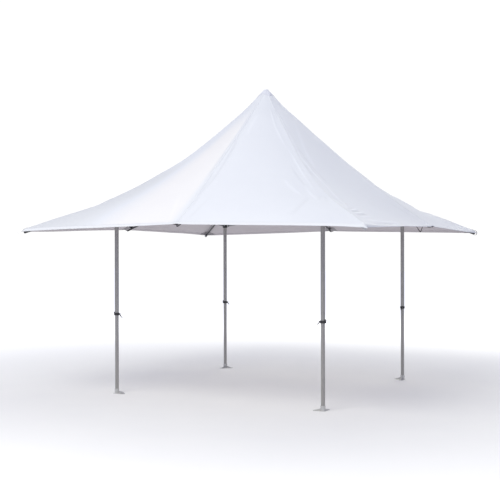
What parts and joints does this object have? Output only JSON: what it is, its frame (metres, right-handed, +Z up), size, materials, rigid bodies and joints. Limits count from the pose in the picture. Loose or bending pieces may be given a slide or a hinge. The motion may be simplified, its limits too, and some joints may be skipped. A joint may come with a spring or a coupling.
{
  "type": "pop-up canopy tent",
  "caption": "Square folding frame on telescopic legs under a tall peaked fabric roof that overhangs it on every side.",
  "frame": {"origin": "on the ground, under the mast", "axes": "+Z up along the mast; -Y is the front; legs stand at 1.5 m along X and along Y"},
  "size_m": [4.808, 4.808, 4.185],
  "materials": {
    "roof_cloth": "coated white polyester, matte",
    "leg_aluminium": "natural anodised",
    "truss_aluminium": "natural anodised",
    "dark_arm": "black powder coat",
    "black_nylon": "moulded, dark",
    "foot_casting": "plain casting"
  },
  "bodies": {
    "frame": {"canopy": "roof_cloth", "mast": "truss_aluminium", "mast_head": "black_nylon", "hub_high": "truss_aluminium", "hub_low": "truss_aluminium", "truss_front_high": "truss_aluminium", "truss_front_low": "truss_aluminium", "truss_right_high": "truss_aluminium", "truss_right_low": "truss_aluminium", "truss_back_high": "truss_aluminium", "truss_back_low": "truss_aluminium", "truss_left_high": "truss_aluminium", "truss_left_low": "truss_aluminium", "side_arm_front": "dark_arm", "side_arm_right": "dark_arm", "side_arm_back": "dark_arm", "side_arm_left": "dark_arm", "corner_arm_front_left": "dark_arm", "corner_arm_front_right": "dark_arm", "corner_arm_back_right": "dark_arm", "corner_arm_back_left": "dark_arm", "top_bracket_front_left": "black_nylon", "top_bracket_front_right": "black_nylon", "top_bracket_back_right": "black_nylon", "top_bracket_back_left": "black_nylon", "slider_front_left": "black_nylon", "slider_front_right": "black_nylon", "slider_back_right": "black_nylon", "slider_back_left": "black_nylon", "outer_leg_front_left": "leg_aluminium", "outer_leg_front_right": "leg_aluminium", "outer_leg_back_right": "leg_aluminium", "outer_leg_back_left": "leg_aluminium", "clamp_front_left": "black_nylon", "clamp_front_right": "black_nylon", "clamp_back_right": "black_nylon", "clamp_back_left": "black_nylon"},
    "lower_leg_front_left": {"inner_leg_front_left": "leg_aluminium", "foot_front_left": "foot_casting"},
    "lower_leg_front_right": {"inner_leg_front_right": "leg_aluminium", "foot_front_right": "foot_casting"},
    "lower_leg_back_right": {"inner_leg_back_right": "leg_aluminium", "foot_back_right": "foot_casting"},
    "lower_leg_back_left": {"inner_leg_back_left": "leg_aluminium", "foot_back_left": "foot_casting"},
    "lever_front_left": {"clamp_lever_front_left": "black_nylon"},
    "lever_front_right": {"clamp_lever_front_right": "black_nylon"},
    "lever_back_right": {"clamp_lever_back_right": "black_nylon"},
    "lever_back_left": {"clamp_lever_back_left": "black_nylon"}
  },
  "joints": [
    {"name": "leg_slide_front_left", "type": "slide", "parent": "frame", "child": "lower_leg_front_left", "axis": [0, 0, 1], "range_m": [0, 0.88]},
    {"name": "leg_slide_front_right", "type": "slide", "parent": "frame", "child": "lower_leg_front_right", "axis": [0, 0, 1], "range_m": [0, 0.88]},
    {"name": "leg_slide_back_right", "type": "slide", "parent": "frame", "child": "lower_leg_back_right", "axis": [0, 0, 1], "range_m": [0, 0.88]},
    {"name": "leg_slide_back_left", "type": "slide", "parent": "frame", "child": "lower_leg_back_left", "axis": [0, 0, 1], "range_m": [0, 0.88]},
    {"name": "lever_turn_front_left", "type": "hinge", "parent": "frame", "child": "lever_front_left", "pos_m": [-1.4585, -1.5, 1.067], "axis": [0, -1, 0], "range_deg": [0, 105]},
    {"name": "lever_turn_front_right", "type": "hinge", "parent": "frame", "child": "lever_front_right", "pos_m": [1.4585, -1.5, 1.067], "axis": [0, 1, 0], "range_deg": [0, 105]},
    {"name": "lever_turn_back_right", "type": "hinge", "parent": "frame", "child": "lever_back_right", "pos_m": [1.5, 1.4585, 1.067], "axis": [-1, 0, 0], "range_deg": [0, 105]},
    {"name": "lever_turn_back_left", "type": "hinge", "parent": "frame", "child": "lever_back_left", "pos_m": [-1.4585, 1.5, 1.067], "axis": [0, -1, 0], "range_deg": [0, 105]}
  ]
}
